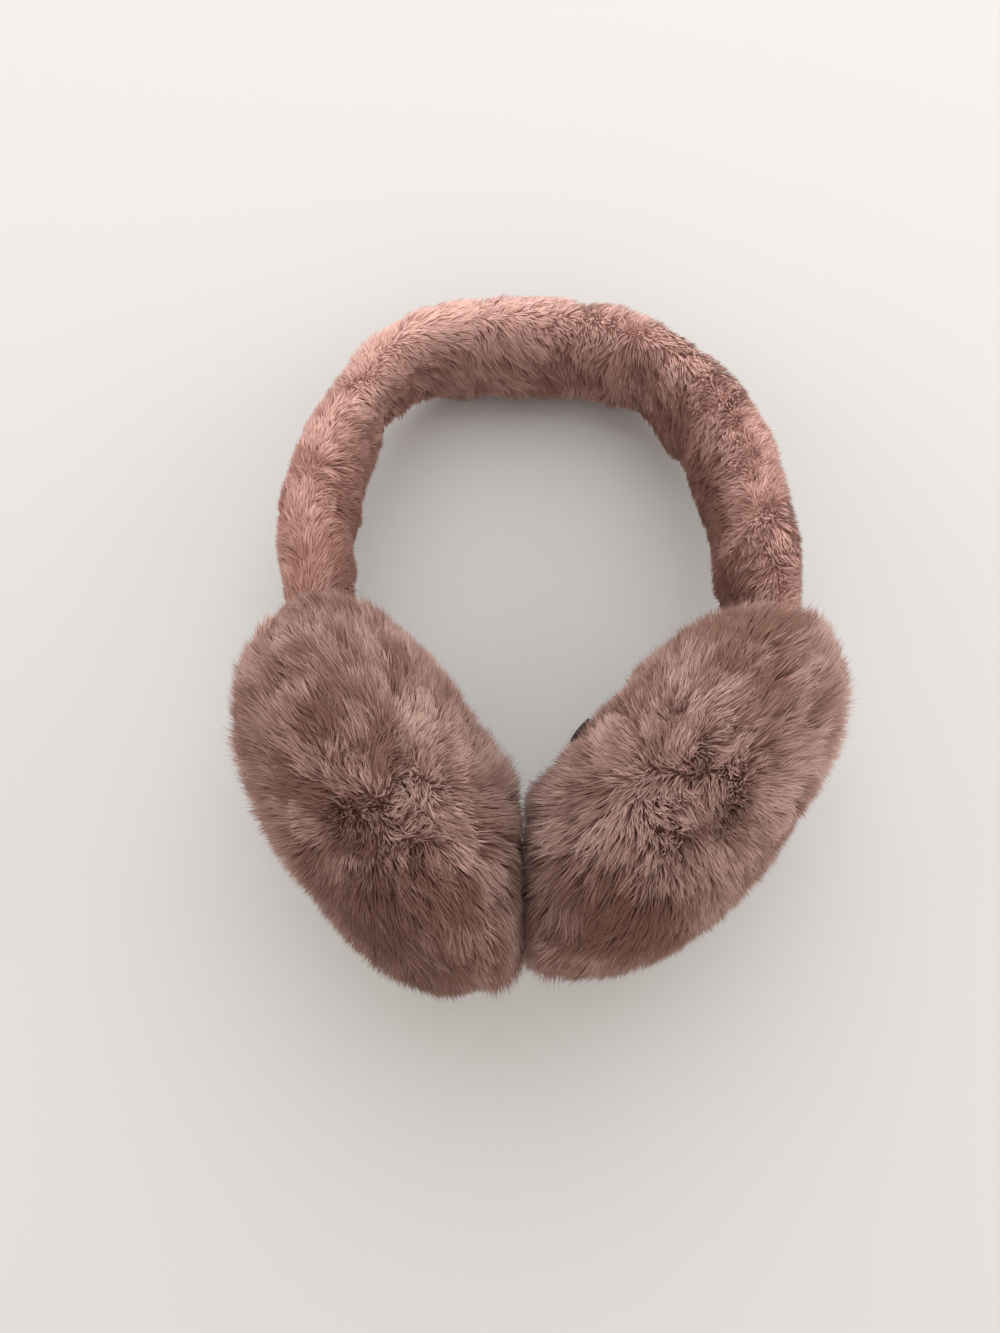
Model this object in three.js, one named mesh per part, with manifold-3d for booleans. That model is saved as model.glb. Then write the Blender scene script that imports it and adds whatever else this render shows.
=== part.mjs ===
// Plush earmuffs lying on their side, as they rest on a table.
// Millimetres, +Z up. +X runs from the left ear pad to the right one, and +Y from the pads to the crown
// of the headband. The origin is on the table, under the middle of the whole.
import * as THREE from "three";
import { mergeVertices } from "three/addons/utils/BufferGeometryUtils.js";
import Module from "manifold-3d";

const wasm = await Module();
wasm.setup();

// Ear pads, measured over the tips of their fur
const padDiameter = 118;
const padThickness = 64;
const padLockDepth = 6; // from the tips of the fur locks down to the gaps between them
const padLockLean = 4.5; // how far a lock's tip leans along the pad
const padPress = 2; // how far the fur sinks where the pad stands on the table
// How each pad lies: turned about the vertical, tipped back, and how far the leg enters off its middle plane
const padLie = {
  left: { side: -1, turn: 28.5, tip: 1, inset: 7.5 },
  right: { side: 1, turn: 39.5, tip: 9.5, inset: 14 },
};
const legEntryDrop = 12; // degrees by which a leg enters below the middle of its pad

// Headband sleeve
const legSpread = 122.5; // between the middles of the two legs
const bandRise = 84; // from the crown's middle line to where the legs enter the pads
const bandWidth = 40; // front to back, as it is worn
const bandThickness = 21; // inside to outside
const bandLockDepth = 3; // relief of its shorter plush
const bandLockLean = 2.2;
const bandPress = 1.2; // how far the crown's edge sinks on the table
const legSeat = 15; // length of each leg inside its pad

// Woven tab on the inner face of the right pad
const labelLength = 7; // along the pad
const labelHeight = 13;
const labelThickness = 0.9;
const labelProud = 0.3; // how far its face stands out of the fur
const labelAlong = -4; // from the pad's middle, towards the headband if positive
const labelUp = 8; // from the pad's middle upwards

const swirlTurn = 65; // degrees by which the fur's lie wanders to either side
const swirlSpan = 95; // distance over which it wanders once
const lockUneven = 0.18; // share of their depth by which locks differ from each other
const clearance = 0.3; // between touching pieces
const softening = 7; // distance over which the locks close up where the fur is pressed flat

// The arch of the headband, from the left leg's entry to the right one's. across is a share of half the
// leg spread, and down a share of the rise.
const archRows = [
  { across: -1.0, down: 1.0 },
  { across: -1.035, down: 0.76 },
  { across: -0.945, down: 0.43 },
  { across: -0.765, down: 0.2 },
  { across: -0.57, down: 0.065 },
  { across: -0.3, down: 0.005 },
  { across: 0.02, down: -0.005 },
  { across: 0.33, down: 0.02 },
  { across: 0.58, down: 0.115 },
  { across: 0.79, down: 0.285 },
  { across: 0.92, down: 0.52 },
  { across: 0.97, down: 0.78 },
  { across: 0.985, down: 1.02 },
];

// Sections of the sleeve. at is a share of its length, thick and wide are shares of its thickness and
// width, and pile of its locks' depth.
const sleeveRows = [
  { at: 0.0, thick: 0.72, wide: 0.8, pile: 0 },
  { at: 0.045, thick: 0.9, wide: 0.94, pile: 0 },
  { at: 0.09, thick: 1.05, wide: 1.0, pile: 1 },
  { at: 0.2, thick: 1.06, wide: 1.0, pile: 1 },
  { at: 0.29, thick: 0.98, wide: 0.98, pile: 1 },
  { at: 0.36, thick: 0.84, wide: 0.94, pile: 1 },
  { at: 0.45, thick: 0.96, wide: 0.97, pile: 1 },
  { at: 0.6, thick: 1.0, wide: 1.0, pile: 1 },
  { at: 0.7, thick: 1.04, wide: 1.02, pile: 1 },
  { at: 0.8, thick: 1.12, wide: 1.02, pile: 1 },
  { at: 0.91, thick: 1.24, wide: 1.0, pile: 1 },
  { at: 0.955, thick: 0.98, wide: 0.94, pile: 0 },
  { at: 1.0, thick: 0.76, wide: 0.8, pile: 0 },
];

// Gathers and ruffles of the sleeve. at and reach are shares of its length, round is degrees from the
// outside of the arch over its top edge, and lift a share of its thickness.
const gatherRows = [
  { at: 0.16, round: 200, lift: 0.09, reach: 0.02 },
  { at: 0.24, round: 170, lift: -0.1, reach: 0.016 },
  { at: 0.3, round: 20, lift: 0.07, reach: 0.025 },
  { at: 0.345, round: 180, lift: -0.12, reach: 0.02 },
  { at: 0.41, round: 110, lift: 0.07, reach: 0.022 },
  { at: 0.48, round: 175, lift: 0.08, reach: 0.02 },
  { at: 0.55, round: 60, lift: -0.07, reach: 0.02 },
  { at: 0.61, round: 190, lift: 0.12, reach: 0.016 },
  { at: 0.645, round: 180, lift: -0.14, reach: 0.014 },
  { at: 0.685, round: 175, lift: 0.15, reach: 0.016 },
  { at: 0.73, round: 185, lift: -0.1, reach: 0.014 },
  { at: 0.77, round: 170, lift: 0.12, reach: 0.018 },
  { at: 0.84, round: 150, lift: -0.08, reach: 0.02 },
];

// Mesh fineness
const padCuts = 12; // cuts along an edge of the twenty-sided ball that a pad starts from
const sleeveRings = 66;
const sleeveSides = 21; // a multiple of 3, so that the locks meet round the sleeve
const padFullness = 1.05; // powers of the round sections: 1 is an ellipse, less is squarer
const sleeveFullness = 0.82;
const weldDistance = 1e-3; // corners nearer than this are one
const tiltPasses = 20; // the arch's tilt and the crown's height settle in this many

const radians = THREE.MathUtils.degToRad;
const padRadius = padDiameter / 2;
const up = new THREE.Vector3(0, 0, 1);

// A repeatable number from 0 to 1 for each index
function scatter(index, salt) {
  const wave = Math.sin(index * 12.9898 + salt * 78.233) * 43758.5453;
  return wave - Math.floor(wave);
}

// How far a corner lies under the fur's outline, as a share of the locks' depth
function lockShare(isTip, index) {
  const uneven = lockUneven * scatter(index, 1);
  return isTip ? uneven : 1 - lockUneven + 2 * uneven;
}

function roundPower(value, power) {
  return Math.sign(value) * Math.abs(value) ** power;
}

// How far the fur's lie has turned at a point, in radians
function swirl(point) {
  const phase = (2 * Math.PI) / swirlSpan;
  return (radians(swirlTurn) / 2) * (Math.sin(point.x * phase + point.y * phase) + Math.sin(point.z * phase));
}

// Turns a closed geometry into a solid whose vertices are shared
function solidOf(geometry) {
  const bare = geometry.clone();
  bare.deleteAttribute("normal");
  bare.deleteAttribute("uv");
  const merged = mergeVertices(bare, weldDistance);
  const mesh = new wasm.Mesh({
    numProp: 3,
    vertProperties: new Float32Array(merged.attributes.position.array),
    triVerts: new Uint32Array(merged.index.array),
  });
  return new wasm.Manifold(mesh);
}

function geometryOf(solid) {
  const mesh = solid.getMesh();
  const geometry = new THREE.BufferGeometry();
  geometry.setAttribute("position", new THREE.BufferAttribute(mesh.vertProperties, 3));
  geometry.setIndex(new THREE.BufferAttribute(mesh.triVerts, 1));
  geometry.computeVertexNormals();
  return geometry;
}

// How far the sleeve's round edge reaches below its middle line when the arch is tilted
function crownHeight(tilt) {
  const flat = (bandWidth / 2) * Math.cos(tilt);
  const thin = (bandThickness / 2) * Math.sin(tilt);
  return Math.hypot(flat, thin) - bandPress;
}

// The height of a pad's middle over the table
function padHeight(lie) {
  const tip = radians(lie.tip);
  return Math.hypot(padRadius * Math.cos(tip), (padThickness / 2) * Math.sin(tip)) - padPress;
}

function entryHeight(lie) {
  return padHeight(lie) - padRadius * Math.sin(radians(legEntryDrop));
}

// The arch leans on its crown and its pads, so its tilt follows from their heights
function restTilt() {
  const entry = (entryHeight(padLie.left) + entryHeight(padLie.right)) / 2;
  let tilt = 0;
  for (let pass = 0; pass < tiltPasses; pass += 1) {
    tilt = Math.asin(THREE.MathUtils.clamp((entry - crownHeight(tilt)) / bandRise, -1, 1));
  }
  return tilt;
}

const tilt = restTilt();
const archDown = new THREE.Vector3(0, -Math.cos(tilt), Math.sin(tilt));
const archTop = new THREE.Vector3(0, Math.sin(tilt), Math.cos(tilt));
const crown = new THREE.Vector3(0, 0, crownHeight(tilt));

function archPoint(across, down) {
  return crown
    .clone()
    .addScaledVector(new THREE.Vector3(1, 0, 0), (across * legSpread) / 2)
    .addScaledVector(archDown, down);
}

function entryOf(row) {
  return archPoint(row.across, row.down * bandRise);
}

const entries = { left: entryOf(archRows[0]), right: entryOf(archRows[archRows.length - 1]) };

// The sleeve's middle line, with a straight stretch inside each pad
function sleeveLine() {
  const points = archRows.map(entryOf);
  points.unshift(entries.left.clone().addScaledVector(archDown, legSeat));
  points.push(entries.right.clone().addScaledVector(archDown, legSeat));
  return new THREE.CatmullRomCurve3(points, false, "centripetal");
}

// A pad's middle and its three directions: out of the ear, along the table towards the band, and up
function padFrame(lie) {
  const turn = radians(lie.turn);
  const tip = radians(lie.tip);
  const level = new THREE.Vector3(lie.side * Math.cos(turn), -Math.sin(turn), 0);
  const out = level.clone().multiplyScalar(Math.cos(tip)).addScaledVector(up, Math.sin(tip));
  const along = new THREE.Vector3(lie.side * Math.sin(turn), Math.cos(turn), 0);
  const rise = level.clone().multiplyScalar(-Math.sin(tip)).addScaledVector(up, Math.cos(tip));
  const entry = lie.side < 0 ? entries.left : entries.right;
  const middle = entry
    .clone()
    .addScaledVector(out, lie.inset)
    .addScaledVector(along, -padRadius * Math.cos(radians(legEntryDrop)))
    .setZ(padHeight(lie));
  return { middle, out, along, rise };
}

const frames = { left: padFrame(padLie.left), right: padFrame(padLie.right) };

// How far a pad reaches along the table towards the other pad
function padReach(frame) {
  const thin = (padThickness / 2) * frame.out.x;
  const along = padRadius * frame.along.x;
  const rise = padRadius * frame.rise.x;
  return Math.hypot(thin, along, rise);
}

// The pads press flat on each other half way between their rims
const leftEdge = frames.left.middle.x + padReach(frames.left);
const rightEdge = frames.right.middle.x - padReach(frames.right);
const meeting = (leftEdge + rightEdge) / 2;

// Picks the corners that become lock tips, so that each triangle has just one
function lockTips(index, count) {
  const tips = new Array(count).fill(false);
  const beside = new Map();
  for (let t = 0; t < index.length; t += 3) {
    for (let k = 0; k < 3; k += 1) {
      const corner = index[t + k];
      if (!beside.has(corner)) beside.set(corner, []);
      beside.get(corner).push(t);
    }
  }
  const edges = new Map();
  for (let t = 0; t < index.length; t += 3) {
    for (let k = 0; k < 3; k += 1) {
      const a = index[t + k];
      const b = index[t + ((k + 1) % 3)];
      edges.set(`${a}_${b}`, index[t + ((k + 2) % 3)]);
    }
  }
  // The ball's own corners have five neighbours, and every lock is a whole number of steps from one
  const first = [...beside.keys()].find((corner) => beside.get(corner).length === 5);
  const queue = [first];
  tips[first] = true;
  while (queue.length > 0) {
    const tip = queue.pop();
    for (const t of beside.get(tip)) {
      const [a, b] = [index[t], index[t + 1], index[t + 2]].filter((corner) => corner !== tip);
      const across = [edges.get(`${a}_${b}`), edges.get(`${b}_${a}`)].find((corner) => corner !== tip);
      if (!tips[across]) {
        tips[across] = true;
        queue.push(across);
      }
    }
  }
  return tips;
}

// A round fur pad: a puffy disc whose surface is drawn out into leaning locks
function padSolid(name) {
  const lie = padLie[name];
  const frame = frames[name];
  const entry = entries[name];
  const ball = new THREE.IcosahedronGeometry(1, padCuts - 1);
  ball.deleteAttribute("normal");
  ball.deleteAttribute("uv");
  const merged = mergeVertices(ball, weldDistance);
  const place = merged.attributes.position;
  const tips = lockTips(merged.index.array, place.count);
  const wall = meeting + (lie.side * clearance) / 2;
  const point = new THREE.Vector3();
  const normal = new THREE.Vector3();
  for (let i = 0; i < place.count; i += 1) {
    const seed = new THREE.Vector3().fromBufferAttribute(place, i).normalize();
    const thin = roundPower(seed.z, padFullness) * (padThickness / 2);
    const wide = Math.hypot(seed.x, seed.y) ** padFullness * padRadius;
    const angle = Math.atan2(seed.y, seed.x) * lie.side;
    point
      .copy(frame.middle)
      .addScaledVector(frame.out, thin)
      .addScaledVector(frame.along, wide * Math.cos(angle))
      .addScaledVector(frame.rise, wide * Math.sin(angle));
    normal
      .set(0, 0, 0)
      .addScaledVector(frame.out, seed.z / padThickness)
      .addScaledVector(frame.along, seed.x / padDiameter)
      .addScaledVector(frame.rise, (lie.side * seed.y) / padDiameter)
      .normalize();
    // The fur lies close where it is pressed, and round the leg that it holds
    const toFloor = THREE.MathUtils.smoothstep(point.z, 0, softening);
    const toWall = THREE.MathUtils.smoothstep(lie.side * (point.x - wall), 0, softening);
    const toLeg = THREE.MathUtils.smoothstep(point.distanceTo(entry), bandWidth / 2, bandWidth / 2 + softening);
    const loose = toFloor * toWall * toLeg;
    point.addScaledVector(normal, -padLockDepth * lockShare(tips[i], i) * loose);
    if (tips[i]) {
      // The fur lies away from the middle of each face, and wanders
      const lay = angle + swirl(point) + scatter(i, 2) - 0.5;
      const lean = frame.along
        .clone()
        .multiplyScalar(Math.cos(lay))
        .addScaledVector(frame.rise, Math.sin(lay))
        .addScaledVector(frame.out, scatter(i, 3) - 0.5);
      lean.addScaledVector(normal, -lean.dot(normal));
      point.addScaledVector(lean, padLockLean * loose);
    }
    point.z = Math.max(point.z, 0);
    if (lie.side * (point.x - wall) < 0) point.x = wall;
    place.setXYZ(i, point.x, point.y, point.z);
  }
  return solidOf(merged);
}

// The value of one column of a table, at a share of the length
function columnAt(rows, column, at) {
  const after = rows.findIndex((row) => row.at >= at);
  if (after <= 0) return rows[Math.max(after, 0)][column];
  const low = rows[after - 1];
  const high = rows[after];
  const share = THREE.MathUtils.smoothstep(at, low.at, high.at);
  return THREE.MathUtils.lerp(low[column], high[column], share);
}

function gatherLift(at, round) {
  let lift = 0;
  for (const row of gatherRows) {
    const near = Math.exp(-(((at - row.at) / row.reach) ** 2));
    const facing = Math.max(0, Math.cos(round - radians(row.round))) ** 2;
    lift += row.lift * near * facing;
  }
  return lift;
}

// How far an end ring moves along the line when the sleeve is grown
function endGrowth(ring, allowance) {
  if (ring === 0) return -allowance;
  return ring === sleeveRings ? allowance : 0;
}

// Whether a corner of the sleeve is a lock's tip. Each ring is half a step round from the last, and each
// triangle has just one tip.
function sleeveTip(ring, side) {
  const step = side - Math.floor(ring / 2) - ring;
  return THREE.MathUtils.euclideanModulo(step, 3) === 0;
}

// The sleeve, or its shape grown all round by an allowance, which cuts its sockets in the pads
function sleeveSolid(allowance) {
  const line = sleeveLine();
  const points = [];
  const push = (vector) => points.push(vector.x, vector.y, vector.z);
  for (let ring = 0; ring <= sleeveRings; ring += 1) {
    const at = ring / sleeveRings;
    const middle = line.getPointAt(at);
    const heading = line.getTangentAt(at);
    const outside = new THREE.Vector3().crossVectors(archTop, heading).normalize();
    middle.addScaledVector(heading, endGrowth(ring, allowance));
    const thick = (bandThickness / 2) * columnAt(sleeveRows, "thick", at);
    const wide = (bandWidth / 2) * columnAt(sleeveRows, "wide", at);
    const pile = columnAt(sleeveRows, "pile", at);
    for (let side = 0; side < sleeveSides; side += 1) {
      const number = ring * sleeveSides + side;
      const round = ((side + (ring % 2) / 2) / sleeveSides) * 2 * Math.PI;
      const tip = sleeveTip(ring, side);
      const lift = 1 + gatherLift(at, round);
      const point = middle
        .clone()
        .addScaledVector(outside, roundPower(Math.cos(round), sleeveFullness) * (thick * lift + allowance))
        .addScaledVector(archTop, roundPower(Math.sin(round), sleeveFullness) * (wide * lift + allowance));
      const normal = outside
        .clone()
        .multiplyScalar(Math.cos(round) / thick)
        .addScaledVector(archTop, Math.sin(round) / wide)
        .normalize();
      const loose = pile * THREE.MathUtils.smoothstep(point.z, 0, softening);
      point.addScaledVector(normal, -bandLockDepth * lockShare(tip, number) * loose);
      if (tip) {
        const sideways = new THREE.Vector3().crossVectors(normal, heading);
        const lay = 2 * swirl(point) + scatter(number, 2) - 0.5;
        point.addScaledVector(heading, bandLockLean * Math.cos(lay) * loose);
        point.addScaledVector(sideways, bandLockLean * Math.sin(lay) * loose);
      }
      point.z = Math.max(point.z, 0);
      push(point);
    }
  }
  const ends = [0, 1].map((at) => {
    const heading = line.getTangentAt(at).multiplyScalar(at === 0 ? -allowance : allowance);
    push(line.getPointAt(at).add(heading));
    return points.length / 3 - 1;
  });
  const index = [];
  for (let ring = 0; ring < sleeveRings; ring += 1) {
    for (let side = 0; side < sleeveSides; side += 1) {
      const next = (side + 1) % sleeveSides;
      const [a, b] = [ring * sleeveSides + side, ring * sleeveSides + next];
      const [c, d] = [a + sleeveSides, b + sleeveSides];
      if (ring % 2 === 0) index.push(a, b, c, b, d, c);
      else index.push(a, d, c, a, b, d);
    }
  }
  const last = sleeveRings * sleeveSides;
  for (let side = 0; side < sleeveSides; side += 1) {
    const next = (side + 1) % sleeveSides;
    index.push(ends[0], next, side);
    index.push(ends[1], last + side, last + next);
  }
  const geometry = new THREE.BufferGeometry();
  geometry.setAttribute("position", new THREE.Float32BufferAttribute(points, 3));
  geometry.setIndex(index);
  return solidOf(geometry);
}

// The woven tab, lying on the inner face of the right pad
function labelSolid(allowance) {
  const frame = frames.right;
  const share = Math.hypot(labelAlong, labelUp) / padRadius;
  const face = (padThickness / 2) * Math.sqrt(1 - share * share) + labelProud - labelThickness / 2;
  const box = new THREE.BoxGeometry(
    labelThickness + 2 * allowance,
    labelLength + 2 * allowance,
    labelHeight + 2 * allowance,
  );
  const turned = new THREE.Matrix4().makeBasis(frame.out, frame.along, frame.rise);
  const place = frame.middle
    .clone()
    .addScaledVector(frame.out, -face)
    .addScaledVector(frame.along, labelAlong)
    .addScaledVector(frame.rise, labelUp);
  box.applyMatrix4(turned.setPosition(place));
  return solidOf(box);
}

function piece(name, solid, colour) {
  const material = new THREE.MeshStandardMaterial({ color: colour, roughness: 0.95, metalness: 0 });
  const mesh = new THREE.Mesh(geometryOf(solid), material);
  mesh.name = name;
  return mesh;
}

const socket = sleeveSolid(clearance);
const earmuffs = new THREE.Group();
earmuffs.add(piece("headband", sleeveSolid(0), 0xa57c74));
earmuffs.add(piece("ear_pad_left", padSolid("left").subtract(socket), 0x7d6056));
const rightPad = padSolid("right").subtract(socket).subtract(labelSolid(clearance));
earmuffs.add(piece("ear_pad_right", rightPad, 0x7d6056));
earmuffs.add(piece("pad_label", labelSolid(0), 0x1b1a1c));

// The origin goes under the middle of the whole
const whole = new THREE.Box3().setFromObject(earmuffs);
const centre = whole.getCenter(new THREE.Vector3());
earmuffs.position.set(-centre.x, -centre.y, 0);
earmuffs.updateMatrixWorld(true);

export default earmuffs;
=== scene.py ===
# Plush earmuffs with two long-pile fur pads, lying on their side on a pale floor.
# The frame is the CAD model's: metres, +Z up, +X from the left pad to the right one, +Y towards the crown.
# Sizes in the dictionaries are millimetres and degrees.
import math
from functools import partial
import bmesh
import bpy
import numpy as np
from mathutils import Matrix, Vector, noise


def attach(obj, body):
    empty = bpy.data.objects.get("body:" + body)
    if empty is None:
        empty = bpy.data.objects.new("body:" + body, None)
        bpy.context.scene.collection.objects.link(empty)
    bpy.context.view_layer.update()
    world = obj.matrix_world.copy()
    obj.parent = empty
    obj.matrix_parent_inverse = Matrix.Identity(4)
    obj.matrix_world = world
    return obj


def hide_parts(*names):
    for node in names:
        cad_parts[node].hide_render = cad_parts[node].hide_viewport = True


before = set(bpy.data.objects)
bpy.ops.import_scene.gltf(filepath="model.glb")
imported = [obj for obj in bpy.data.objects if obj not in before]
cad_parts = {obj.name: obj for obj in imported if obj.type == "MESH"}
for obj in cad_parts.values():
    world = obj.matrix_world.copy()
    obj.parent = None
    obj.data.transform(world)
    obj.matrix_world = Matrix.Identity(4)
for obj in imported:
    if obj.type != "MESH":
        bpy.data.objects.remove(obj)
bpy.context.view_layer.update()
mm = 0.001

# What all the fur shares
common = {
    "meeting": -5.94,  # the pads press on each other about this plane of x
    "wobble": 8,  # how far the parting of their fur could wander, from side to side
    "floorGap": 0.25,  # lowest fibre over the floor
    "groomed": ("reach", "cover", "tone", "half"),  # what a skin tells its strands
    "strandFacts": ("root", "whole", "outward", "girth", "shade", "form"),
    "lengths": ("Width", "Lock Size", "Tuft Size", "Floor", "Wall", "Wobble"),  # given to the tree in metres
    "fur": {"Bends": 1, "Tuft Stray": 0.4, "Roundness": 0.4, "Needles": 1.1},
}


# Small helpers

def linear(hexColour):
    # an sRGB hex colour as linear light, with alpha
    parts = [int(hexColour[i:i + 2], 16) / 255 for i in (1, 3, 5)]
    return [p / 12.92 if p <= 0.04045 else ((p + 0.055) / 1.055) ** 2.4 for p in parts] + [1]


def addNode(tree, kind, settings=None, *inputs, **named):
    # one node, its settings, and what goes into its live sockets, in their order or by name
    node = tree.nodes.new(kind)
    for key, value in (settings or {}).items():
        setattr(node, key, value)
    live = [socket for socket in node.inputs if socket.enabled]
    wanted = [(live[i], value) for i, value in enumerate(inputs) if value is not None]
    wanted += [(node.inputs[key.replace("_", " ")], value) for key, value in named.items()]
    for socket, value in wanted:
        if isinstance(value, bpy.types.Node):  # a node stands for its first live output
            value = next(output for output in value.outputs if output.enabled)
        if isinstance(value, bpy.types.NodeSocket):
            tree.links.new(value, socket)
        else:
            socket.default_value = value
    return node


def smooth(value, low, high):
    share = np.clip((value - low) / (high - low), 0, 1)
    return share * share * (3 - 2 * share)


def unit(vectors):
    return vectors / np.maximum(np.linalg.norm(vectors, axis=-1, keepdims=True), 1e-9)


def noiseAt(points, span, offset=0.0):
    # smooth noise from about -1 to 1, whose lumps are about half of span across
    shift = Vector((offset, offset * 1.7, offset * 2.3))
    return np.array([noise.noise(Vector(p) / span + shift) for p in points])


def turned(vectors, normals, angles):
    # tangent vectors turned about their normals, by radians
    return vectors * np.cos(angles)[:, None] + np.cross(normals, vectors) * np.sin(angles)[:, None]


def meshObject(name, points, faces):
    # points in millimetres
    mesh = bpy.data.meshes.new(name)
    mesh.from_pydata((np.asarray(points) * mm).tolist(), [], [list(f) for f in faces])
    solid = bmesh.new()
    solid.from_mesh(mesh)
    bmesh.ops.recalc_face_normals(solid, faces=solid.faces)
    solid.to_mesh(mesh)
    solid.free()
    mesh.polygons.foreach_set("use_smooth", [True] * len(mesh.polygons))
    piece = bpy.data.objects.new(name, mesh)
    bpy.context.scene.collection.objects.link(piece)
    return piece


def normalsOf(piece):
    found = np.zeros(len(piece.data.vertices) * 3, np.float32)
    piece.data.vertex_normals.foreach_get("vector", found)
    return found.reshape(-1, 3).astype(float)


def groom(piece, **attributes):
    # what the strands read from the skin, point by point
    for name, values in attributes.items():
        vector = values.ndim == 2
        layer = piece.data.attributes.new(name, "FLOAT_VECTOR" if vector else "FLOAT", "POINT")
        layer.data.foreach_set("vector" if vector else "value", values.astype(np.float32).ravel())


# Fur

def furMaterial(name, dark, light, roughness, sheen):
    # Polyester fur fibre: matt and soft, deeper in colour at its root than at its tip: painted shade of the depth
    # of the pile. The colour reads the strands' own map: across is the tone of the strand, its own tone with
    # painted light and shade, and along runs from its root to its tip.
    material = bpy.data.materials.new(name)
    material.use_nodes = True
    material.node_tree.nodes.clear()
    node = partial(addNode, material.node_tree)
    lay = node("ShaderNodeSeparateXYZ", None, node("ShaderNodeUVMap", {"uv_map": "OFBake"}))
    ramps = []
    for colours in (dark, light):
        ramp = node("ShaderNodeValToRGB", None, lay.outputs[1])
        stops = ramp.color_ramp.elements
        for place, colour in colours[1:-1]:
            stops.new(place).color = linear(colour)
        for stop, (place, colour) in zip((stops[0], stops[-1]), (colours[0], colours[-1])):
            stop.position = place
            stop.color = linear(colour)
        ramps.append(ramp)
    colour = node("ShaderNodeMix", {"data_type": "RGBA"}, lay.outputs[0], ramps[0], ramps[1])
    fibre = node("ShaderNodeBsdfPrincipled", None, colour, Roughness=roughness, Specular_IOR_Level=0.15,
                 Sheen_Weight=sheen, Sheen_Roughness=0.45, Sheen_Tint=linear("#e6c8be"))
    node("ShaderNodeOutputMaterial", None, fibre)
    return material


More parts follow.
